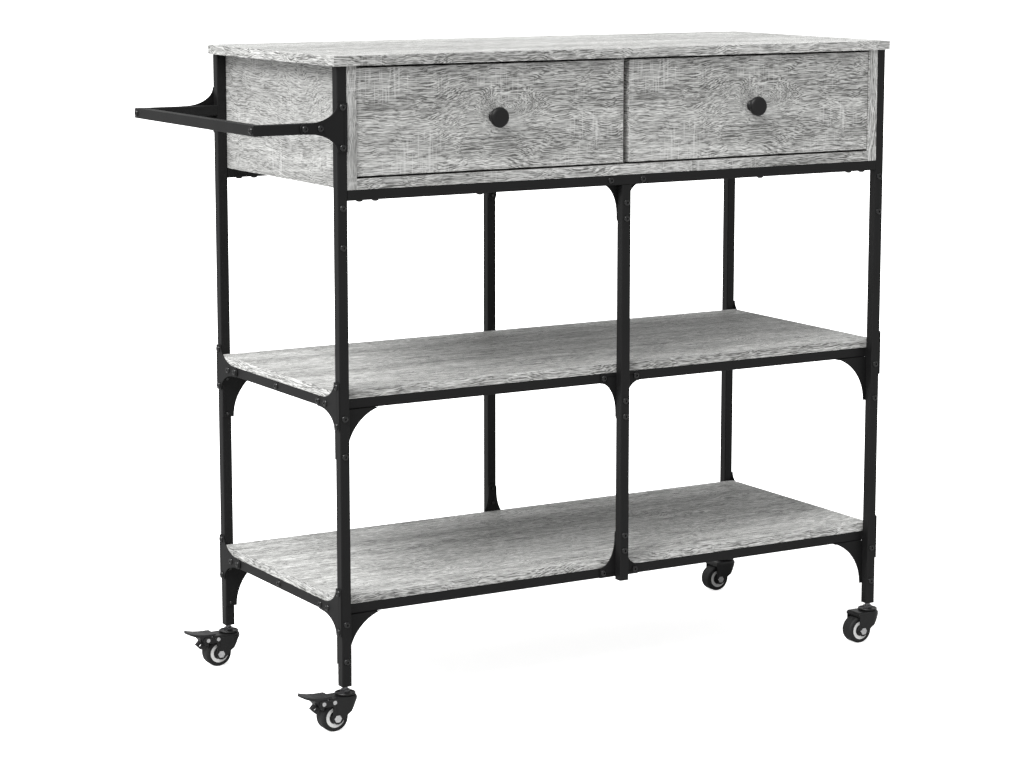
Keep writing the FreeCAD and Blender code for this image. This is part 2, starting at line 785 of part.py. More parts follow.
def make_knob():
    """Round knob on a narrower neck, turned about its own axis, with a blind screw hole."""
    knob = turned_piece("knob_turned", [
        ("pin_radius", "0"),
        ("knob_neck_radius + 2", "0"),
        ("knob_neck_radius + 2", "1.5"),
        ("knob_neck_radius", "3.5"),
        ("knob_neck_radius", "knob_length * 0.42"),
        ("knob_radius - 2.5", "knob_length * 0.55"),
        ("knob_radius", "knob_length * 0.68"),
        ("knob_radius", "knob_length * 0.84"),
        ("knob_radius - 1", "knob_length * 0.94"),
        ("knob_radius - 3", "knob_length"),
        ("0", "knob_length"),
        ("0", "knob_screw_grip + 1"),
        ("pin_radius", "knob_screw_grip + 1"),
    ])
    screw = turned_piece("knob_screw", [
        ("0", "0 - 2.6"),
        ("knob_screw_head", "0 - 2.6"),
        ("knob_screw_head", "0"),
        ("pin_radius", "0"),
        ("pin_radius", "board + knob_screw_grip"),
        ("0", "board + knob_screw_grip"),
    ])
    return knob, screw


# ---------------------------------------------------------------- casters

AXLE_X = "0 - caster_trail"
PIVOT_X = "0 - pivot_back"


def make_wheel():
    """Tyre and hub about Z, with a running bore for the axle."""
    half = "wheel_width / 2"
    tyre = turned_piece("tyre_turned", [
        ("rim_radius", f"0 - {half}"),
        ("wheel_radius - 2.5", f"0 - {half}"),
        ("wheel_radius - 0.8", f"1 - {half}"),
        ("wheel_radius", f"3 - {half}"),
        ("wheel_radius", f"{half} - 3"),
        ("wheel_radius - 0.8", f"{half} - 1"),
        ("wheel_radius - 2.5", half),
        ("rim_radius", half),
    ])
    bore = "axle_radius + running_gap"
    hub = turned_piece("hub_turned", [
        (bore, f"0 - {half} - hub_dish"),
        ("hub_boss_radius", f"0 - {half} - hub_dish"),
        ("hub_boss_radius", f"hub_dish - {half}"),
        ("rim_inner_radius - 0.3", f"hub_dish - {half}"),
        ("rim_inner_radius", f"0 - {half}"),
        ("rim_radius", f"0 - {half}"),
        ("rim_radius", half),
        ("rim_inner_radius", half),
        ("rim_inner_radius - 0.3", f"{half} - hub_dish"),
        ("hub_boss_radius", f"{half} - hub_dish"),
        ("hub_boss_radius", f"{half} + hub_dish"),
        (bore, f"{half} + hub_dish"),
    ])
    return tyre, hub


def top_edges(shape, height):
    """Indices of the edges that lie in the level plane at one height."""
    return [index for index, edge in enumerate(shape.Edges, start=1)
            if all(abs(vertex.Z - height) < 0.01 for vertex in edge.Vertexes)]


def make_fork(braked):
    """Pressed steel fork about the swivel axis: round nose, two legs and a hood or two ears."""
    name = "braked_fork" if braked else "plain_fork"
    back = "braked_fork_back" if braked else "plain_fork_back"
    nose = cylinder(f"{name}_nose", ("0", "0", "0"), "fork_radius", "fork_top", on_frame=False)
    body = box(f"{name}_body", (f"0 - {back}", "0 - fork_radius", "0"),
               (back, "2 * fork_radius", "fork_top"), on_frame=False)
    outer = fuse(f"{name}_outer", [nose, body])
    outer.Refine = True
    doc.recompute()
    smooth = doc.addObject("Part::Fillet", f"{name}_smooth")
    smooth.Base = outer
    rounding = number("fork_rounding")
    smooth.Edges = [(edge, rounding, rounding)
                    for edge in top_edges(outer.Shape, number("fork_top"))]
    profile = [
        ("fork_radius + 1", "fork_top + 1"),
        ("fork_radius + 1", "fork_top - 4"),
        ("fork_radius - 5", "fork_top - 7"),
        ("fork_radius - 8", "fork_top - 10"),
        ("fork_radius - 10.5", "fork_top - 14.5"),
        ("fork_radius - 15", "fork_top - 21.5"),
        (f"{AXLE_X} + 15.5", "wheel_radius + 2.5"),
        (f"{AXLE_X} + 10.5", "wheel_radius - 3.5"),
        (f"{AXLE_X} + 6.5", "wheel_radius - 7.5"),
        (f"{AXLE_X} + 2", "wheel_radius - 9"),
        (f"{AXLE_X} - 2", "wheel_radius - 8.5"),
        (f"{AXLE_X} - fork_leg + 1", "wheel_radius - 6"),
        (f"{AXLE_X} - fork_leg", "wheel_radius - 2"),
    ]
    if braked:
        profile += [
            (f"{AXLE_X} - fork_leg", "pivot_height - 5.5"),
            (f"{PIVOT_X} - 3", "pivot_height - 5.5"),
            (f"{PIVOT_X} - 6", "pivot_height - 3"),
            (f"{PIVOT_X} - 6", "pivot_height + 2"),
            (f"{PIVOT_X} - 3", "pivot_height + 4.5"),
            ("0 - hood_back", "fork_top + 1"),
        ]
    else:
        profile += [
            (f"{AXLE_X} - fork_leg", "fork_top - 6.5"),
            ("0 - plain_fork_back - 1", "fork_top - 6.5"),
            ("0 - plain_fork_back - 1", "fork_top + 1"),
        ]
    side = pressed_piece(f"{name}_side", profile, "4 * fork_radius")
    shell = doc.addObject("Part::MultiCommon", f"{name}_shell")
    shell.Shapes = [smooth, side]
    inner_nose = cylinder(f"{name}_inner_nose", ("0", "0", "0 - 1"), "fork_radius - fork_sheet",
                          "fork_top - fork_sheet + 1", on_frame=False)
    inner_back = f"{back} + 1" if braked else f"{back} - fork_sheet"
    inner_body = box(f"{name}_inner_body",
                     (f"0 - ({inner_back})", "fork_sheet - fork_radius", "0 - 1"),
                     (inner_back, "2 * (fork_radius - fork_sheet)", "fork_top - fork_sheet + 1"),
                     on_frame=False)
    axle_bore = cylinder(f"{name}_axle_bore", (AXLE_X, "0 - 2 * fork_radius", "wheel_radius"),
                         "axle_radius", "4 * fork_radius", sideways(), on_frame=False)
    kingpin_bore = cylinder(f"{name}_kingpin_bore", ("0", "0", "fork_top - 5"),
                            "kingpin_radius + running_gap", "10", on_frame=False)
    tools = [inner_nose, inner_body, axle_bore, kingpin_bore]
    if braked:
        # ears only: the hood is cut away behind the end of the top plate
        tools.append(box(
            f"{name}_open_back", (f"0 - {back} - 6", "fork_sheet - fork_radius", "0 - 1"),
            (f"{back} + 6 - hood_back", "2 * (fork_radius - fork_sheet)", "fork_top + 2"),
            on_frame=False))
        for index, x in enumerate((PIVOT_X, "0 - spring_pin_back"), start=1):
            tools.append(cylinder(f"{name}_pin_bore_{index}",
                                  (x, "0 - 2 * fork_radius", "pivot_height"), "pin_radius",
                                  "4 * fork_radius", sideways(), on_frame=False))
    else:
        # the hood's back edge hangs only a little way, clear of the wheel
        tools.append(box(
            f"{name}_open_back", (f"0 - {back} - 1", "fork_sheet - fork_radius", "0 - 1"),
            ("2 * fork_sheet + 2", "2 * (fork_radius - fork_sheet)", "fork_top - 5.5"),
            on_frame=False))
    return cut(name, shell, tools)


def make_pedal():
    """Brake pedal between the fork's ears, with its shoe, its release loop and a pivot bore."""
    lever = pressed_piece("pedal_lever", [
        ("0 - 28", "fork_top + 3.2"),
        ("0 - 43", "fork_top + 3.3"),
        ("19 - pedal_tip", "fork_top + 4.4"),
        ("9 - pedal_tip", "fork_top + 6.4"),
        ("1.5 - pedal_tip", "fork_top + 9"),
        ("0 - pedal_tip", "fork_top + 6.2"),
        ("10 - pedal_tip", "fork_top + 2.6"),
        ("0 - 55", "fork_top + 0.2"),
        (f"{PIVOT_X} - 8", "pivot_height + 1.5"),
        (f"{PIVOT_X} - 5.6", "pivot_height - 3.5"),
        (f"{PIVOT_X} - 2", "pivot_height - 9"),
        (f"{PIVOT_X} + 1.5", "pivot_height - 10.5"),
        (f"{PIVOT_X} + 2.5", "pivot_height - 5"),
        ("0 - 34.5", "fork_top - 0.4"),
        ("0 - 32", "fork_top + 0.9"),
        ("0 - 28", "fork_top + 0.9"),
    ], "pedal_width")
    tip = cylinder("pedal_tip_round", ("pedal_tip_radius - pedal_tip", "0", "0"),
                   "pedal_tip_radius", "2 * fork_top", on_frame=False)
    heel = box("pedal_heel", ("pedal_tip_radius - pedal_tip", "0 - pedal_width", "0"),
               ("pedal_tip", "2 * pedal_width", "2 * fork_top"), on_frame=False)
    blade = doc.addObject("Part::MultiCommon", "pedal_blade")
    blade.Shapes = [lever, fuse("pedal_plan", [tip, heel])]
    slanted = FreeCAD.Rotation(Vector(0, 1, 0), -45)
    loop = box("pedal_loop", ("0", "0", "0"), ("8.5", "8", "11"), on_frame=False)
    slot = box("pedal_loop_slot", ("0", "0", "0"), ("3.6", "10", "5"), on_frame=False)
    place(loop, f"{PIVOT_X} - 6.1", "0 - 4", "pivot_height - 16.9", rotation=slanted,
          on_frame=False)
    place(slot, f"{PIVOT_X} - 5.9", "0 - 5", "pivot_height - 13.7", rotation=slanted,
          on_frame=False)
    pivot_bore = cylinder("pedal_pivot_bore", (PIVOT_X, "0 - pedal_width", "pivot_height"),
                          "pin_radius + running_gap", "2 * pedal_width", sideways(),
                          on_frame=False)
    return cut("pedal", fuse("pedal_body", [blade, loop]), [slot, pivot_bore])


def make_pins(braked):
    """Axle bolt with its nut, and the two rivets of a brake."""
    name = "braked_pins" if braked else "plain_pins"
    outside = "fork_radius + 0.1"
    shank = cylinder(f"{name}_axle", (AXLE_X, f"0 - ({outside})", "wheel_radius"), "axle_radius",
                     f"2 * ({outside}) + axle_nut_height", sideways(), on_frame=False)
    head = hexagon(f"{name}_head", (AXLE_X, f"0 - ({outside}) - axle_head_height", "wheel_radius"),
                   "axle_hexagon", "axle_head_height", sideways(), on_frame=False)
    nut = hexagon(f"{name}_nut_blank", (AXLE_X, outside, "wheel_radius"), "axle_hexagon",
                  "axle_nut_height", sideways(), on_frame=False)
    nut_bore = cylinder(f"{name}_nut_bore", (AXLE_X, "0", "wheel_radius"), "axle_radius",
                        "4 * fork_radius", sideways(), on_frame=False)
    pins = [fuse(f"{name}_bolt", [shank, head]), cut(f"{name}_nut", nut, [nut_bore])]
    if braked:
        for index, x in enumerate((PIVOT_X, "0 - spring_pin_back"), start=1):
            rivet = cylinder(f"{name}_rivet_{index}", (x, "0 - fork_radius", "pivot_height"),
                             "pin_radius", "2 * fork_radius", sideways(), on_frame=False)
            heads = [
                cylinder(f"{name}_rivet_{index}_{end}", (x, y, "pivot_height"),
                         "pin_radius + 1", "rivet_head_height", sideways(), on_frame=False)
                for end, y in (("near", "0 - fork_radius - rivet_head_height"), ("far", "fork_radius"))
            ]
            pins.append(fuse(f"{name}_rivet_{index}_whole", [rivet] + heads))
    return group(name, pins)


def make_stem():
    """Threaded stem that ends in the kingpin, and the nut that holds it on the cup."""
    pin = turned_piece("stem_turned", [
        ("0", "fork_top - fork_sheet - 1.6"),
        ("kingpin_radius + 3", "fork_top - fork_sheet - 1.6"),
        ("kingpin_radius + 3", "fork_top - fork_sheet - 0.2"),
        ("kingpin_radius", "fork_top - fork_sheet - 0.2"),
        ("kingpin_radius", "post_foot + stem_reach - 1"),
        ("kingpin_radius - 1", "post_foot + stem_reach"),
        ("0", "post_foot + stem_reach"),
    ])
    blank = hexagon("stem_nut_blank", ("0", "0", "fork_top + cup_floor"), "stem_nut_hexagon",
                    "stem_nut_height", on_frame=False)
    bore = cylinder("stem_nut_bore", ("0", "0", "fork_top"), "kingpin_radius",
                    "4 * stem_nut_height", on_frame=False)
    return group("stem", [pin, cut("stem_nut", blank, [bore])])


def make_cup():
    """Dished cup that the fork turns under."""
    return turned_piece("cup", [
        ("kingpin_radius", "fork_top + 0.3"),
        ("cup_radius - 1", "fork_top + 0.3"),
        ("cup_radius", "fork_top + 1.2"),
        ("cup_radius", "fork_top + 3"),
        ("cup_radius - 1", "fork_top + 3.6"),
        ("cup_radius - 2.2", "fork_top + 3.4"),
        ("cup_radius - 3.2", "fork_top + cup_floor"),
        ("kingpin_radius", "fork_top + cup_floor"),
    ])


def put_casters():
    """One caster under each corner post, all trailing to the left, braked on the left."""
    tyre, hub = make_wheel()
    stem = make_stem()
    cup = make_cup()
    forks = {True: make_fork(True), False: make_fork(False)}
    pins = {True: make_pins(True), False: make_pins(False)}
    pedal = make_pedal()
    stems = []
    cups = []
    half = "tube_size / 2"
    for face in FACES:
        for side in SIDES:
            name = f"caster_{face}_{side}"
            braked = side == "left"
            x = from_end(side, half)
            y = from_face(face, half)
            stems.append(copy_of(stem, f"{name}_stem", x, y, "0"))
            cups.append(copy_of(cup, f"{name}_cup", x, y, "0"))
            wheel_place = (f"{x} - caster_trail", y, "wheel_radius", sideways())
            pieces = {
                "fork": copy_of(forks[braked], f"{name}_fork_link", x, y, "0"),
                "pins": copy_of(pins[braked], f"{name}_pins_link", x, y, "0"),
                "tyre": copy_of(tyre, f"{name}_tyre_link", *wheel_place),
                "hub": copy_of(hub, f"{name}_hub_link", *wheel_place),
            }
            if braked:
                pieces["pedal"] = copy_of(pedal, f"{name}_pedal_link", x, y, "0")
            for piece, link in pieces.items():
                node(f"{name}_{piece}", group(f"{name}_{piece}", [link]))
    node("caster_stems", group("caster_stems", stems))
    node("caster_cups", group("caster_cups", cups))


def put_plugs():
    """Threaded plugs in the post feet and handle arms, and the sleeves inside the posts."""
    half = "tube_size / 2"
    fill = "tube_size - 2 * tube_wall"
    plugs = []
    sleeves = []
    for face in FACES:
        y = from_face(face, "tube_wall", fill)
        for side in SIDES:
            x = from_end(side, "tube_wall", fill)
            foot = box(f"foot_plug_{face}_{side}", (x, y, "post_foot"), (fill, fill, "foot_plug_length"))
            bore = cylinder(f"foot_bore_{face}_{side}",
                            (from_end(side, half), from_face(face, half), "post_foot - 1"),
                            "kingpin_radius + running_gap", "stem_reach + 2")
            plugs.append(cut(f"foot_plug_{face}_{side}_bored", foot, [bore]))
            name = f"post_{face}_{side}_splice"
            sleeve = box(f"{name}_solid", (x, y, "post_splice_height - splice_length / 2"),
                         (fill, fill, "splice_length"))
            hollow = box(f"{name}_hollow",
                         (f"{x} + 2", f"{y} + 2", "post_splice_height - splice_length"),
                         (f"{fill} - 4", f"{fill} - 4", "2 * splice_length"))
            sleeves.append(bored(name, cut(f"{name}_tube", sleeve, [hollow])))
        name = f"handle_arm_{face}_plug"
        blank = box(name, ("tube_size - handle_reach", y, f"handle_height - ({fill}) / 2"),
                    ("arm_plug_length", fill, fill))
        plugs.append(bored(name, blank))
    node("tube_plugs", group("tube_plugs", plugs))
    node("post_sleeves", group("post_sleeves", sleeves))


# ---------------------------------------------------------------- assembly

def put_frame(blanks):
    """Cut the bolt holes and register each tube, or each set of equal ones, as a node."""
    equal = {"upper_posts": "_upper", "side_rails": ("rail_left", "rail_right"),
             "centre_posts": "_centre", "upper_rails": ("upper_rail_front", "upper_rail_rear"),
             "middle_rails": ("middle_rail_front", "middle_rail_rear"),
             "lower_rails": ("lower_rail_front", "lower_rail_rear"),
             "handle_arms": ("handle_arm_front", "handle_arm_rear")}
    sets = {name: [] for name in equal}
    for name, blank in blanks.items():
        piece = bored(name, blank)
        for set_name, ending in equal.items():
            if name.endswith(ending):
                sets[set_name].append(piece)
                break
        else:
            node(name, piece)
    for name, pieces in sets.items():
        node(name, group(name, pieces))


def check(obj):
    if "Invalid" in obj.State or "Error" in obj.State:
        raise RuntimeError(f"{obj.Label} ({obj.Name}): {obj.State}")


def write_nodes():
    """Write every piece, once each object has computed and every shape is sound."""
    doc.recompute()
    for obj in doc.Objects:
        check(obj)
    if bores:
        raise RuntimeError(f"holes without a piece: {sorted(bores)}")
    low = Vector(1e9, 1e9, 1e9)
    high = Vector(-1e9, -1e9, -1e9)
    os.makedirs("parts", exist_ok=True)
    for name, obj in nodes.items():
        shape = obj.Shape
        if shape.isNull() or not shape.isValid() or not shape.Solids:
            raise RuntimeError(f"{name} has no sound shape")
        bounds = shape.optimalBoundingBox(False, False)
        low = Vector(min(low.x, bounds.XMin), min(low.y, bounds.YMin), min(low.z, bounds.ZMin))
        high = Vector(max(high.x, bounds.XMax), max(high.y, bounds.YMax), max(high.z, bounds.ZMax))
    for name, obj in nodes.items():
        obj.Shape.exportStep(f"parts/{name}.step")
    print(f"{len(nodes)} nodes, from {low} to {high}")
    if abs(low.x + high.x) > 0.02 or abs(low.y + high.y) > 0.02 or abs(low.z) > 0.01:
        raise RuntimeError("the origin isn't on the floor at the middle of the cart")


KNOB, KNOB_SCREW = make_knob()


def main():
    blanks = frame_tubes()
    put_t_plates()
    put_gussets()
    put_loose_bolts()
    put_case()
    put_frame(blanks)
    put_plugs()
    fixed_runners = drawer("left") + drawer("right")
    node("fixed_runners", group("fixed_runners", fixed_runners))
    put_casters()
    node("frame_bolts", group("frame_bolts", frame_bolts))
    write_nodes()


main()
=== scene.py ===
"""Looks of the kitchen island cart: boards, powder-coated frame, bolts, knobs and casters."""
import math

import bmesh
import bpy
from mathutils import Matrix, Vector


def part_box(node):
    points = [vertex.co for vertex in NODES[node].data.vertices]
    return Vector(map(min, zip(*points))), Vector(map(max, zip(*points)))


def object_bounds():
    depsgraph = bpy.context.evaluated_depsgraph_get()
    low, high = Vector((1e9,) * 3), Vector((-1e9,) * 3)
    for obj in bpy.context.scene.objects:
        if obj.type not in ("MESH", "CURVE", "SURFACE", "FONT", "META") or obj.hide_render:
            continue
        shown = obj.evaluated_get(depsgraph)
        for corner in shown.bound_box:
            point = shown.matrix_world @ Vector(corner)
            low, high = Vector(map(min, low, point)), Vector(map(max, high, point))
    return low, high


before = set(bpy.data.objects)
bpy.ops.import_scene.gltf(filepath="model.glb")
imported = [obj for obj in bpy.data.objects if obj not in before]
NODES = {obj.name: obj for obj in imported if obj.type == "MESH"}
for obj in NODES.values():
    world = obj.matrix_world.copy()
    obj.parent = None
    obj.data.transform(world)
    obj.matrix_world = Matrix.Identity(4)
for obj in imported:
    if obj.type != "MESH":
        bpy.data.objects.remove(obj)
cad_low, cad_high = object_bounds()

bl_info = {
    "name": "Kitchen Island Cart",
    "version": (1, 0, 0),
    "blender": (4, 5, 0),
    "location": "View3D > Sidebar > Cart",
    "description": "Finishes and detailed pieces of a rolling kitchen island on its packed frame",
    "category": "Object",
}

MM = 0.001
ENDS = ("left", "right")
FACES = ("front", "rear")
CORNERS = [(face, end) for face in FACES for end in ENDS]

# the oak decor
FACING = 0.7  # a face points along an axis when its normal leans this far that way
GROWTH_TURN = 2500.0  # radians per metre: a growth line every 2.5 mm
GROWTH_WANDER = 26.0  # radians that the growth lines drift
GROWTH_DARKNESS = 0.40
GRAIN_LAYERS = (
    # per metre along and across the grain, detail, roughness, fades in from and to, darkness
    (5.0, 330.0, 3.0, 0.60, 0.44, 0.64, 0.17),    # broad lines
    (60.0, 950.0, 2.0, 0.55, 0.45, 0.58, 0.42),   # short dashes, the open pores
    (18.0, 780.0, 2.0, 0.60, 0.45, 0.59, 0.38),   # fine threads
    (1.5, 22.0, 3.0, 0.55, 0.36, 0.64, 0.22),     # wide bands of tone
)
KNOT_RUN = 14.0  # per metre: how soon a knot's bulge fades along the grain
KNOT_ACROSS = 24.0  # and across it
KNOT_BULGE = 0.035
SAW_MARK_COLOUR = (0.74, 0.74, 0.73, 1.0)

# the wheel's pale rim starts between these distances from the axle
RIM_STARTS = 9.2 * MM
RIM_FULL = 9.5 * MM

# the stage
BLACK = (0.0, 0.0, 0.0, 1.0)
WHITE = (1.0, 1.0, 1.0, 1.0)
SUN_FROM = (-2.4, -0.66, 3.2)
SUN_SPREAD = math.radians(46)
FLOOR_REACH = 60.0
LENS = 94.9
SENSOR_WIDTH = 36.0
VIEW_SHIFT = -0.05
VIEW_YAW = math.radians(30.59)
VIEW_PITCH = math.radians(8.72)
# the eye, counted from the foot of the front left post
EYE_FROM_POST = (-1.6803, -3.3142, 1.1399)
FAR_CLIP = 200.0


# ---------------------------------------------------------- sizes and colours a user may change

class CartBoardSettings(bpy.types.PropertyGroup):
    """Grey oak decor of the boards."""

    pale: bpy.props.FloatVectorProperty(
        name="Pale wood", description="Colour between the grain lines", subtype="COLOR",
        default=(0.75, 0.752, 0.735), min=0, max=1)
    grain: bpy.props.FloatVectorProperty(
        name="Grain lines", description="Colour of the dark pores and growth lines",
        subtype="COLOR", default=(0.105, 0.105, 0.101), min=0, max=1)
    edge_round: bpy.props.FloatProperty(
        name="Edge rounding", description="Radius of the glued edge band", unit="LENGTH",
        default=0.5 * MM, min=0)


class CartSteelSettings(bpy.types.PropertyGroup):
    """Powder coat of the frame."""

    coat: bpy.props.FloatVectorProperty(
        name="Powder coat", description="Colour of the coated steel", subtype="COLOR",
        default=(0.0060, 0.0060, 0.0061), min=0, max=1)
    plate_edge: bpy.props.FloatProperty(
        name="Plate edge rounding", description="Rounding of the punched plates", unit="LENGTH",
        default=0.35 * MM, min=0)


class CartStageSettings(bpy.types.PropertyGroup):
    """Floor and lamps."""

    floor: bpy.props.FloatVectorProperty(
        name="Floor", description="Colour of the studio floor", subtype="COLOR",
        default=(0.90, 0.90, 0.90), min=0, max=1)
    glow: bpy.props.FloatProperty(
        name="Floor glow", description="Light of its own that keeps the floor's shadows faint",
        default=0.85, min=0, max=1, subtype="FACTOR")
    bounce: bpy.props.FloatProperty(
        name="Floor bounce", description="Share of the floor's paleness that lights the cart",
        default=0.45, min=0, max=1, subtype="FACTOR")
    key: bpy.props.FloatProperty(
        name="Key lamp", description="Strength of the soft lamp above the left end", default=5.4,
        min=0)
    sky: bpy.props.FloatProperty(
        name="Room light", description="Strength of the light from all around", default=0.6, min=0)


# ---------------------------------------------------------------- node tree helpers

class Wires:
    """Short calls for building one node tree."""

    def __init__(self, tree):
        self.tree = tree

    def add(self, kind, inputs=None, **settings):
        made = self.tree.nodes.new(kind)
        for name, value in settings.items():
            setattr(made, name, value)
        for name, value in (inputs or {}).items():
            self.feed(made.inputs[name], value)
        return made

    def feed(self, socket, value):
        if isinstance(value, bpy.types.NodeSocket):
            self.tree.links.new(value, socket)
        else:
            socket.default_value = value

    def math(self, operation, first, second=0.0, third=0.0, clamp=False):
        made = self.add("ShaderNodeMath", operation=operation, use_clamp=clamp)
        for socket, value in zip(made.inputs, (first, second, third)):
            self.feed(socket, value)
        return made.outputs[0]

    def scaled(self, vector, scale):
        made = self.add("ShaderNodeVectorMath", operation="MULTIPLY")
        self.feed(made.inputs[0], vector)
        self.feed(made.inputs[1], scale)
        return made.outputs[0]

    def noise(self, vector, scale=1.0, detail=2.0, roughness=0.5, distortion=0.0):
        made = self.add("ShaderNodeTexNoise", {
            "Vector": vector, "Scale": scale, "Detail": detail,
            "Roughness": roughness, "Distortion": distortion})
        return made.outputs["Fac"]

    def remap(self, value, low, high, out_low=0.0, out_high=1.0):
        made = self.add("ShaderNodeMapRange", {
            "Value": value, "From Min": low, "From Max": high,
            "To Min": out_low, "To Max": out_high}, clamp=True, interpolation_type="SMOOTHSTEP")
        return made.outputs["Result"]

    def mix(self, factor, first, second, blend="MIX"):
        made = self.add("ShaderNodeMix", data_type="RGBA", blend_type=blend)
        self.feed(made.inputs["Factor"], factor)
        self.feed(made.inputs[6], first)
        self.feed(made.inputs[7], second)
        return made.outputs[2]

    def split(self, vector):
        made = self.add("ShaderNodeSeparateXYZ", {"Vector": vector})
        return made.outputs["X"], made.outputs["Y"], made.outputs["Z"]

    def join(self, x, y, z):
        return self.add("ShaderNodeCombineXYZ", {"X": x, "Y": y, "Z": z}).outputs["Vector"]


def effect(name, inputs, outputs):
    """Empty shader node group with named sockets."""
    tree = bpy.data.node_groups.new(name, "ShaderNodeTree")
    for socket_name, kind, default in inputs:
        socket = tree.interface.new_socket(socket_name, in_out="INPUT", socket_type=kind)
        if default is not None:
            socket.default_value = default
    for socket_name, kind in outputs:
        tree.interface.new_socket(socket_name, in_out="OUTPUT", socket_type=kind)
    wires = Wires(tree)
    return wires, wires.add("NodeGroupInput").outputs, wires.add("NodeGroupOutput").inputs


def rgba(colour):
    return (*colour, 1.0)


FLOAT = "NodeSocketFloat"
VECTOR = "NodeSocketVector"
COLOUR = "NodeSocketColor"


# ---------------------------------------------------------------- shared effects

def make_grain_direction():
    """Turns positions on a board so that the grain always runs along X.

    Upright front stands the grain up on the front edge, and Crosswise runs it from front to rear.
    The board's ends always show it from front to rear.
    """
    wires, given, result = effect(
        "Grain direction",
        [("Position", VECTOR, None), ("Normal", VECTOR, None), ("Upright front", FLOAT, 0.0),
         ("Crosswise", FLOAT, 0.0)],
        [("Vector", VECTOR)])
    x, y, z = wires.split(given["Position"])
    normal_x, normal_y, _ = wires.split(given["Normal"])
    faces_end = wires.math("GREATER_THAN", wires.math("ABSOLUTE", normal_x), FACING)
    faces_front = wires.math("GREATER_THAN", wires.math("ABSOLUTE", normal_y), FACING)
    lengthwise = wires.join(x, y, z)
    crosswise = wires.join(y, x, z)
    upright = wires.join(z, x, y)
    across = wires.math("MAXIMUM", faces_end, given["Crosswise"])
    stands = wires.math("MULTIPLY", faces_front, given["Upright front"])

    def choose(factor, first, second):
        made = wires.add("ShaderNodeMix", data_type="VECTOR")
        wires.feed(made.inputs[0], factor)
        wires.feed(made.inputs[4], first)
        wires.feed(made.inputs[5], second)
        return made.outputs[1]

    wires.feed(result["Vector"], choose(stands, choose(across, lengthwise, crosswise), upright))
    return wires.tree


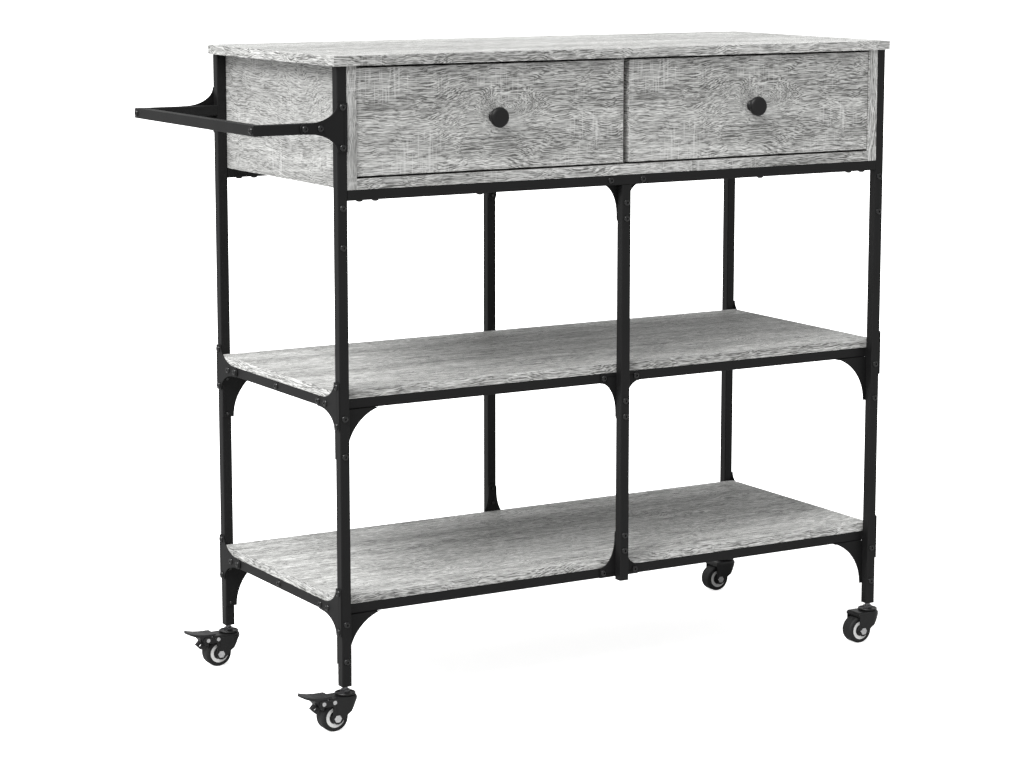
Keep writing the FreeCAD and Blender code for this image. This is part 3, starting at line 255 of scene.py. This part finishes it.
def make_oak_decor():
    """Grey oak: growth lines round a knot, dark pores, wide tone bands and pale saw marks."""
    wires, given, result = effect(
        "Grey oak decor",
        [("Vector", VECTOR, None), ("Shift", VECTOR, None), ("Knot", VECTOR, (0.0, 9.0, 9.0)),
         ("Pale", COLOUR, None), ("Grain", COLOUR, None), ("Streaks", FLOAT, 1.0),
         ("Saw marks", FLOAT, 1.0)],
        [("Color", COLOUR), ("Height", FLOAT), ("Roughness", FLOAT)])
    moved = wires.add("ShaderNodeVectorMath", operation="ADD")
    wires.feed(moved.inputs[0], given["Vector"])
    wires.feed(moved.inputs[1], given["Shift"])
    run, across, depth = wires.split(moved.outputs[0])

    # the growth lines part round a knot
    from_knot = wires.add("ShaderNodeVectorMath", operation="SUBTRACT")
    wires.feed(from_knot.inputs[0], given["Vector"])
    wires.feed(from_knot.inputs[1], given["Knot"])
    knot_run, knot_across, knot_depth = wires.split(from_knot.outputs[0])
    far = wires.add("ShaderNodeVectorMath", operation="LENGTH")
    wires.feed(far.inputs[0], wires.join(wires.math("MULTIPLY", knot_run, KNOT_RUN),
                                         wires.math("MULTIPLY", knot_across, KNOT_ACROSS),
                                         wires.math("MULTIPLY", knot_depth, KNOT_ACROSS)))
    near = wires.math("SUBTRACT", 1.0, far.outputs["Value"], clamp=True)
    bulge = wires.math("MULTIPLY", wires.math("POWER", near, 2.0), KNOT_BULGE)

    def stretched(per_run, per_across, detail, roughness=0.55):
        return wires.noise(wires.join(wires.math("MULTIPLY", run, per_run),
                                      wires.math("MULTIPLY", across, per_across),
                                      wires.math("MULTIPLY", depth, per_across)),
                           detail=detail, roughness=roughness)

    slow = stretched(4.5, 8.0, 3.0)
    wave = stretched(24.0, 34.0, 2.0)
    sway = wires.math("ADD", wires.math("MULTIPLY", slow, 0.045),
                      wires.math("MULTIPLY", wave, 0.0032))
    sway = wires.math("ADD", sway, bulge)
    across = wires.math("ADD", across, sway)
    depth = wires.math("ADD", depth, sway)

    # growth lines: even lines a few millimetres apart that wander and break off
    wander = stretched(6.0, 45.0, 2.0, 0.5)
    turns = wires.math("ADD", wires.math("MULTIPLY", wires.math("ADD", across, depth), GROWTH_TURN),
                       wires.math("MULTIPLY", wander, GROWTH_WANDER))
    growth = wires.remap(wires.math("SINE", turns), -0.3, 0.95)
    broken = wires.remap(stretched(26.0, 240.0, 3.0, 0.6), 0.38, 0.56)
    growth = wires.math("MULTIPLY", growth, broken)
    darkness = wires.math("MULTIPLY", growth, GROWTH_DARKNESS)
    for per_run, per_across, detail, roughness, low, high, share in GRAIN_LAYERS:
        layer = wires.remap(stretched(per_run, per_across, detail, roughness), low, high)
        darkness = wires.math("ADD", darkness, wires.math("MULTIPLY", layer, share))
    darkness = wires.math("MULTIPLY", darkness, given["Streaks"], clamp=True)

    # pale saw marks: short scratches across and along the grain, in patches
    patches = wires.remap(wires.noise(wires.join(
        wires.math("MULTIPLY", run, 8.0), wires.math("MULTIPLY", across, 14.0),
        wires.math("MULTIPLY", depth, 14.0)), detail=2.0), 0.50, 0.66)
    cross_marks = wires.remap(wires.noise(wires.join(
        wires.math("MULTIPLY", run, 480.0), wires.math("MULTIPLY", across, 20.0),
        wires.math("MULTIPLY", depth, 20.0)), detail=1.0), 0.54, 0.68)
    along_marks = wires.remap(stretched(14.0, 420.0, 1.0), 0.55, 0.68)
    marks = wires.math("MAXIMUM", cross_marks, wires.math("MULTIPLY", along_marks, 0.8))
    marks = wires.math("MULTIPLY", wires.math("MULTIPLY", marks, patches), given["Saw marks"],
                       clamp=True)

    colour = wires.mix(darkness, given["Pale"], given["Grain"])
    colour = wires.mix(wires.math("MULTIPLY", marks, 0.42), colour, SAW_MARK_COLOUR)
    wires.feed(result["Color"], colour)
    relief = wires.math("SUBTRACT", wires.math("MULTIPLY", marks, 0.3), darkness)
    wires.feed(result["Height"], relief)
    wires.feed(result["Roughness"], wires.remap(darkness, 0.0, 1.0, 0.46, 0.62))
    return wires.tree


def make_coat_texture():
    """Fine orange peel of a sprayed coat, with faint cloudiness and handling marks."""
    wires, given, result = effect(
        "Sprayed coat",
        [("Position", VECTOR, None), ("Base", COLOUR, None), ("Rough", FLOAT, 0.45),
         ("Peel size", FLOAT, 900.0)],
        [("Color", COLOUR), ("Height", FLOAT), ("Roughness", FLOAT)])
    peel = wires.noise(given["Position"], given["Peel size"], 2.0, 0.5)
    cloud = wires.noise(given["Position"], 14.0, 3.0, 0.6)
    scuffs = wires.remap(wires.noise(wires.scaled(given["Position"], (60.0, 60.0, 240.0)),
                                     1.0, 4.0, 0.7), 0.60, 0.78)
    lighter = wires.mix(wires.remap(cloud, 0.3, 0.7, 0.0, 0.5), given["Base"],
                        (0.0095, 0.0095, 0.0098, 1.0))
    wires.feed(result["Color"], wires.mix(wires.math("MULTIPLY", scuffs, 0.06), lighter,
                                          (0.05, 0.05, 0.05, 1.0)))
    wires.feed(result["Height"], peel)
    rough = wires.math("ADD", given["Rough"], wires.remap(cloud, 0.2, 0.8, -0.04, 0.05))
    wires.feed(result["Roughness"], wires.math("ADD", rough, wires.math("MULTIPLY", scuffs, 0.08),
                                               clamp=True))
    return wires.tree


def make_fine_grain():
    """Small random grain for rubber, moulded plastic and bare metal."""
    wires, given, result = effect(
        "Fine grain",
        [("Position", VECTOR, None), ("Light", COLOUR, None), ("Dark", COLOUR, None),
         ("Rough", FLOAT, 0.5), ("Stretch", VECTOR, (1.0, 1.0, 1.0)), ("Size", FLOAT, 700.0)],
        [("Color", COLOUR), ("Height", FLOAT), ("Roughness", FLOAT)])
    stretched = wires.add("ShaderNodeVectorMath", operation="MULTIPLY")
    wires.feed(stretched.inputs[0], given["Position"])
    wires.feed(stretched.inputs[1], given["Stretch"])
    grain = wires.noise(stretched.outputs[0], given["Size"], 3.0, 0.6)
    cloud = wires.noise(given["Position"], 60.0, 3.0, 0.6)
    both = wires.math("ADD", wires.math("MULTIPLY", grain, 0.6), wires.math("MULTIPLY", cloud, 0.4))
    wires.feed(result["Color"], wires.mix(wires.remap(both, 0.35, 0.65), given["Dark"],
                                          given["Light"]))
    wires.feed(result["Height"], grain)
    wires.feed(result["Roughness"], wires.math(
        "ADD", given["Rough"], wires.remap(cloud, 0.3, 0.7, -0.05, 0.06), clamp=True))
    return wires.tree


EFFECTS = {}


def shared_effect(name):
    """Each effect is built once, when the first material asks for it."""
    makers = {"grain_direction": make_grain_direction, "oak_decor": make_oak_decor,
              "sprayed_coat": make_coat_texture, "fine_grain": make_fine_grain}
    if name not in EFFECTS:
        EFFECTS[name] = makers[name]()
    return EFFECTS[name]


# ---------------------------------------------------------------- materials

def start_material(name, metallic=0.0, specular=0.5):
    """Material with a Principled shader: returns it, its wires, its shader and the positions."""
    material = bpy.data.materials.new(name)
    material.use_nodes = True
    wires = Wires(material.node_tree)
    shader = material.node_tree.nodes["Principled BSDF"]
    shader.inputs["Metallic"].default_value = metallic
    shader.inputs["Specular IOR Level"].default_value = specular
    where = wires.add("ShaderNodeTexCoord").outputs
    return material, wires, shader, where


def place_effect(wires, name, inputs):
    made = wires.add("ShaderNodeGroup", node_tree=shared_effect(name))
    for socket_name, value in inputs.items():
        wires.feed(made.inputs[socket_name], value)
    return made.outputs


def finish_material(wires, shader, outputs, bump_distance, bump_strength):
    """Wire an effect's colour, roughness and relief into the shader."""
    wires.feed(shader.inputs["Base Color"], outputs["Color"])
    wires.feed(shader.inputs["Roughness"], outputs["Roughness"])
    bump = wires.add("ShaderNodeBump", {"Height": outputs["Height"], "Strength": bump_strength,
                                        "Distance": bump_distance})
    wires.feed(shader.inputs["Normal"], bump.outputs["Normal"])


def oak_board(name, shift, upright_front=0.0, crosswise=0.0, knot=(0.0, 9.0, 9.0), streaks=1.0,
              saw_marks=1.0, painted_shade=1.0):
    """Grey oak decor on a board, with its own part of the pattern; the last argument darkens the
    pale colour as painted shade.
    """
    settings = bpy.context.scene.cart_boards
    # painted shade: the pale colour is darkened for a board that the key lamp lights brighter than
    # the front
    pale = [value * painted_shade for value in settings.pale]
    material, wires, shader, where = start_material(name, specular=0.35)
    turned = place_effect(wires, "grain_direction", {
        "Position": where["Object"], "Normal": where["Normal"],
        "Upright front": upright_front, "Crosswise": crosswise})
    decor = place_effect(wires, "oak_decor", {
        "Vector": turned["Vector"], "Shift": shift, "Knot": knot, "Pale": rgba(pale),
        "Grain": rgba(settings.grain), "Streaks": streaks, "Saw marks": saw_marks})
    finish_material(wires, shader, decor, 0.12 * MM, 0.35)
    return material


def sprayed_steel(name, rough=0.50, specular=0.22, base=None, peel_size=900.0):
    colour = base or tuple(bpy.context.scene.cart_steel.coat)
    material, wires, shader, where = start_material(name, specular=specular)
    coat = place_effect(wires, "sprayed_coat", {
        "Position": where["Object"], "Base": rgba(colour), "Rough": rough,
        "Peel size": peel_size})
    finish_material(wires, shader, coat, 0.05 * MM, 0.25)
    return material


def grained(name, light, dark, rough, metallic=0.0, specular=0.5, stretch=(1.0, 1.0, 1.0),
            size=700.0, bump=0.06 * MM):
    material, wires, shader, where = start_material(name, metallic, specular)
    grain = place_effect(wires, "fine_grain", {
        "Position": where["Object"], "Light": rgba(light), "Dark": rgba(dark), "Rough": rough,
        "Stretch": stretch, "Size": size})
    finish_material(wires, shader, grain, bump, 0.3)
    return material


def wheel_hub_material(name, axle_x, axle_z):
    """Pale moulded rim round a dark hub centre, told apart by distance from the axle."""
    material, wires, shader, where = start_material(name, specular=0.5)
    x, y, z = wires.split(where["Object"])
    off_x = wires.math("SUBTRACT", x, axle_x)
    off_z = wires.math("SUBTRACT", z, axle_z)
    length = wires.add("ShaderNodeVectorMath", operation="LENGTH")
    wires.feed(length.inputs[0], wires.join(off_x, 0.0, off_z))
    rim = wires.remap(length.outputs["Value"], RIM_STARTS, RIM_FULL)
    pale = place_effect(wires, "fine_grain", {
        "Position": where["Object"], "Light": (0.80, 0.80, 0.79, 1.0),
        "Dark": (0.66, 0.66, 0.65, 1.0), "Rough": 0.35, "Size": 500.0})
    dark = place_effect(wires, "fine_grain", {
        "Position": where["Object"], "Light": (0.030, 0.030, 0.030, 1.0),
        "Dark": (0.012, 0.012, 0.012, 1.0), "Rough": 0.5, "Size": 500.0})
    wires.feed(shader.inputs["Base Color"], wires.mix(rim, dark["Color"], pale["Color"]))
    wires.feed(shader.inputs["Roughness"], wires.math(
        "ADD", wires.math("MULTIPLY", pale["Roughness"], rim),
        wires.math("MULTIPLY", dark["Roughness"], wires.math("SUBTRACT", 1.0, rim))))
    bump = wires.add("ShaderNodeBump", {"Height": pale["Height"], "Strength": 0.2,
                                        "Distance": 0.04 * MM})
    wires.feed(shader.inputs["Normal"], bump.outputs["Normal"])
    return material


# ---------------------------------------------------------------- finishing carried-over pieces

def dress(node_name, material):
    """Give a carried-over piece its finish."""
    for slot in NODES[node_name].material_slots:
        slot.material = material


def soften_edges(node_name, width, segments=2, angle=30.0):
    """Small roundings along the sharp edges of a carried-over piece."""
    piece = NODES[node_name]
    weld = piece.modifiers.new("Joined faces", "WELD")
    weld.merge_threshold = 1e-5
    bevel = piece.modifiers.new("Softened edges", "BEVEL")
    bevel.width = width
    bevel.segments = segments
    bevel.limit_method = "ANGLE"
    bevel.angle_limit = math.radians(angle)
    bevel.harden_normals = True
    bevel.use_clamp_overlap = True


# ---------------------------------------------------------------- operators

class CART_OT_boards(bpy.types.Operator):
    """Finish the worktop, the case, the drawer fronts and the shelves in grey oak decor"""

    bl_idname = "cart.boards"
    bl_label = "Boards"

    def execute(self, context):
        knobs = {end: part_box(f"drawer_{end}_knob") for end in ENDS}

        def beside_knob(end):
            low, high = knobs[end]
            return ((low[0] + high[0]) / 2 + 0.026, (low[1] + high[1]) / 2,
                    (low[2] + high[2]) / 2 + 0.012)

        front_shift = {end: tuple(-Vector(beside_knob(end)) + Vector((3.1, 0.7, 1.9)))
                       for end in ENDS}
        finishes = {
            "tabletop": oak_board("Worktop oak", (0.0, 0.0, 0.0), saw_marks=0.7),
            "middle_shelf": oak_board("Middle shelf oak", (1.7, 0.9, 0.2), saw_marks=0.6),
            "lower_shelf": oak_board("Lower shelf oak", (4.3, 2.4, 0.6), saw_marks=0.6),
            "bottom_panel": oak_board("Floor panel oak", (6.1, 0.3, 0.8)),
            "back_panel": oak_board("Back panel oak", (7.7, 1.3, 0.1)),
            # painted shade: the left end's pale colour is set 24% darker, so that this end, lit by
            # the key lamp from the left, looks no brighter than the front
            "side_panel_left": oak_board("Left end oak painted shade", (2.2, 5.1, 0.4), upright_front=1.0,
                                         crosswise=1.0, streaks=0.85, painted_shade=0.76),
            "side_panel_right": oak_board("Right end oak", (9.2, 3.1, 0.9), upright_front=1.0,
                                          crosswise=1.0),
            "centre_divider": oak_board("Divider oak", (5.2, 8.1, 0.3), upright_front=1.0,
                                        crosswise=1.0),
        }
        for end in ENDS:
            finishes[f"drawer_{end}_front"] = oak_board(
                f"Drawer front {end} oak", front_shift[end], knot=beside_knob(end), saw_marks=1.3)
        width = context.scene.cart_boards.edge_round
        for name, material in finishes.items():
            dress(name, material)
            soften_edges(name, width)
        return {"FINISHED"}


class CART_OT_drawer_boxes(bpy.types.Operator):
    """Finish the drawer boxes, their runners and the dowels"""

    bl_idname = "cart.drawer_boxes"
    bl_label = "Drawer boxes"

    def execute(self, context):
        foil = grained("Drawer box foil", (0.36, 0.36, 0.35), (0.28, 0.28, 0.275), 0.55,
                       specular=0.35, stretch=(1.0, 0.15, 1.0), size=900.0)
        runner = grained("Runner epoxy coat", (0.30, 0.30, 0.30), (0.22, 0.22, 0.22), 0.42,
                         specular=0.4, size=1200.0)
        beech = grained("Beech dowel", (0.62, 0.45, 0.28), (0.45, 0.30, 0.17), 0.6,
                        specular=0.3, stretch=(1.0, 1.0, 0.1), size=900.0)
        for end in ENDS:
            for piece in ("sides", "back", "floor"):
                dress(f"drawer_{end}_{piece}", foil)
                soften_edges(f"drawer_{end}_{piece}", 0.3 * MM, segments=1)
            dress(f"drawer_{end}_runners", runner)
        dress("fixed_runners", runner)
        dress("case_dowels", beech)
        return {"FINISHED"}


class CART_OT_frame(bpy.types.Operator):
    """Finish the square tubes, the joining plates, the bolts and what is inside the tubes"""

    bl_idname = "cart.frame"
    bl_label = "Frame"

    def execute(self, context):
        tube = sprayed_steel("Tube powder coat")
        plate = sprayed_steel("Plate powder coat", rough=0.52, specular=0.20)
        head = sprayed_steel("Black bolt head", rough=0.22, specular=0.5,
                             base=(0.004, 0.004, 0.0042), peel_size=1600.0)
        zinc = grained("Sleeve zinc", (0.45, 0.45, 0.46), (0.32, 0.32, 0.33), 0.35, metallic=1.0)
        nylon = grained("Black nylon plug", (0.030, 0.030, 0.030), (0.016, 0.016, 0.016), 0.5)
        tubes = [f"post_{face}_{end}" for face, end in CORNERS]
        tubes += ["upper_posts", "centre_posts", "upper_rails", "middle_rails", "lower_rails",
                  "side_rails", "handle_arms", "handle_bar"]
        for name in tubes:
            dress(name, tube)
        for name in ("t_plates", "corner_gussets"):
            dress(name, plate)
            soften_edges(name, context.scene.cart_steel.plate_edge, segments=2, angle=40.0)
        dress("frame_bolts", head)
        dress("post_sleeves", zinc)
        dress("tube_plugs", nylon)
        return {"FINISHED"}


class CART_OT_knobs(bpy.types.Operator):
    """Finish the drawer knobs"""

    bl_idname = "cart.knobs"
    bl_label = "Knobs"

    def execute(self, context):
        black = sprayed_steel("Knob satin black", rough=0.36, specular=0.28, peel_size=1300.0)
        for end in ENDS:
            dress(f"drawer_{end}_knob", black)
            soften_edges(f"drawer_{end}_knob", 1.2 * MM, segments=4, angle=18.0)
        return {"FINISHED"}


class CART_OT_casters(bpy.types.Operator):
    """Finish the forks, pedals, pins, stems and wheels"""

    bl_idname = "cart.casters"
    bl_label = "Casters"

    def execute(self, context):
        fork = sprayed_steel("Fork black coat", rough=0.36, specular=0.36, peel_size=1400.0)
        pedal = grained("Pedal black nylon", (0.016, 0.016, 0.017), (0.008, 0.008, 0.009), 0.42,
                        specular=0.4, size=1100.0)
        zinc = grained("Bright zinc", (0.74, 0.74, 0.74), (0.50, 0.50, 0.505), 0.22, metallic=1.0,
                       size=600.0, bump=0.12 * MM)
        stem = grained("Dull zinc stem", (0.20, 0.20, 0.205), (0.10, 0.10, 0.105), 0.36,
                       metallic=1.0, size=600.0)
        tyre = grained("Black tyre rubber", (0.016, 0.016, 0.016), (0.009, 0.009, 0.009), 0.60,
                       specular=0.3, size=1000.0)
        for face, end in CORNERS:
            name = f"caster_{face}_{end}"
            dress(f"{name}_fork", fork)
            soften_edges(f"{name}_fork", 0.6 * MM, segments=3, angle=35.0)
            dress(f"{name}_pins", zinc)
            dress(f"{name}_tyre", tyre)
            low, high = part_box(f"{name}_tyre")
            dress(f"{name}_hub", wheel_hub_material(
                f"Wheel hub {face} {end}", (low[0] + high[0]) / 2, (low[2] + high[2]) / 2))
            if end == "left":
                dress(f"{name}_pedal", pedal)
                soften_edges(f"{name}_pedal", 0.7 * MM, segments=3, angle=35.0)
        dress("caster_stems", stem)
        dress("caster_cups", fork)
        soften_edges("caster_cups", 0.5 * MM, segments=2, angle=35.0)
        return {"FINISHED"}


class CART_OT_stage(bpy.types.Operator):
    """Make the floor, the lamps and the camera"""

    bl_idname = "cart.stage"
    bl_label = "Stage"

    def execute(self, context):
        settings = context.scene.cart_stage
        self.make_floor(settings)
        self.make_lamps(settings)
        self.make_camera(context)
        context.scene.view_settings.view_transform = "Standard"
        return {"FINISHED"}

    def make_floor(self, settings):
        mesh = bpy.data.meshes.new("studio_floor")
        shape = bmesh.new()
        bmesh.ops.create_grid(shape, x_segments=1, y_segments=1, size=FLOOR_REACH)
        shape.to_mesh(mesh)
        shape.free()
        floor = bpy.data.objects.new("studio_floor", mesh)
        bpy.context.scene.collection.objects.link(floor)
        material, wires, shader, where = start_material("Pale floor", specular=0.2)
        paper = place_effect(wires, "fine_grain", {
            "Position": where["Object"], "Light": rgba(settings.floor),
            "Dark": rgba([value * 0.985 for value in settings.floor]), "Rough": 0.8,
            "Size": 40.0})
        finish_material(wires, shader, paper, 0.02 * MM, 0.1)
        # the floor looks pale, yet throws less light up under the shelves
        seen = wires.add("ShaderNodeLightPath").outputs["Is Camera Ray"]
        dimmed = wires.mix(1.0, paper["Color"], rgba([settings.bounce] * 3), blend="MULTIPLY")
        wires.feed(shader.inputs["Base Color"], wires.mix(seen, dimmed, paper["Color"]))
        wires.feed(shader.inputs["Emission Color"], wires.mix(
            seen, BLACK, wires.mix(1.0, paper["Color"], rgba([settings.glow] * 3),
                                   blend="MULTIPLY")))
        shader.inputs["Emission Strength"].default_value = 1.0
        mesh.materials.append(material)

    def make_lamps(self, settings):
        centre = (cad_low + cad_high) / 2
        sun = bpy.data.lights.new("key_lamp", "SUN")
        sun.energy = settings.key
        sun.angle = SUN_SPREAD
        self.aim_lamp("key_lamp", sun, centre + Vector(SUN_FROM), centre)
        world = bpy.data.worlds.new("Studio room")
        world.use_nodes = True
        wires = Wires(world.node_tree)
        seen = wires.add("ShaderNodeLightPath").outputs["Is Camera Ray"]
        wires.feed(world.node_tree.nodes["Background"].inputs["Color"], wires.mix(
            seen, rgba([settings.sky] * 3), WHITE))
        bpy.context.scene.world = world

    def aim_lamp(self, name, data, place, target):
        lamp = bpy.data.objects.new(name, data)
        lamp.location = place
        lamp.rotation_euler = (target - place).to_track_quat("-Z", "Y").to_euler()
        bpy.context.scene.collection.objects.link(lamp)

    def make_camera(self, context):
        data = bpy.data.cameras.new("view_camera")
        data.lens = LENS
        data.sensor_width = SENSOR_WIDTH
        data.shift_y = VIEW_SHIFT
        data.clip_end = FAR_CLIP
        camera = bpy.data.objects.new("view_camera", data)
        ahead = Vector((math.sin(VIEW_YAW) * math.cos(VIEW_PITCH),
                        math.cos(VIEW_YAW) * math.cos(VIEW_PITCH), -math.sin(VIEW_PITCH)))
        post_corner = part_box("post_front_left")[0]
        camera.location = Vector(EYE_FROM_POST) + Vector((post_corner.x, post_corner.y, 0.0))
        camera.rotation_euler = ahead.to_track_quat("-Z", "Y").to_euler()
        context.scene.collection.objects.link(camera)
        context.scene.camera = camera


class CART_PT_panel(bpy.types.Panel):
    """Sizes, colours and steps of the cart"""

    bl_idname = "CART_PT_panel"
    bl_label = "Kitchen island cart"
    bl_space_type = "VIEW_3D"
    bl_region_type = "UI"
    bl_category = "Cart"

    def draw(self, context):
        for title, group in (("Boards", "cart_boards"), ("Steel", "cart_steel"),
                             ("Stage", "cart_stage")):
            column = self.layout.column(align=True)
            column.label(text=title)
            settings = getattr(context.scene, group)
            for name in settings.bl_rna.properties.keys():
                if name not in ("rna_type", "name"):
                    column.prop(settings, name)
        for step in STEPS:
            self.layout.operator(step.bl_idname)


STEPS = (CART_OT_stage, CART_OT_boards, CART_OT_drawer_boxes, CART_OT_frame, CART_OT_knobs,
         CART_OT_casters)
GROUPS = {"cart_boards": CartBoardSettings, "cart_steel": CartSteelSettings,
          "cart_stage": CartStageSettings}


def register():
    for kind in (*GROUPS.values(), *STEPS, CART_PT_panel):
        bpy.utils.register_class(kind)
    for name, kind in GROUPS.items():
        setattr(bpy.types.Scene, name, bpy.props.PointerProperty(type=kind))


def unregister():
    for name in GROUPS:
        delattr(bpy.types.Scene, name)
    for kind in reversed((*GROUPS.values(), *STEPS, CART_PT_panel)):
        bpy.utils.unregister_class(kind)


def main():
    register()
    bpy.ops.cart.stage()
    bpy.ops.cart.boards()
    bpy.ops.cart.drawer_boxes()
    bpy.ops.cart.frame()
    bpy.ops.cart.knobs()
    bpy.ops.cart.casters()


if __name__ == "__main__":
    main()
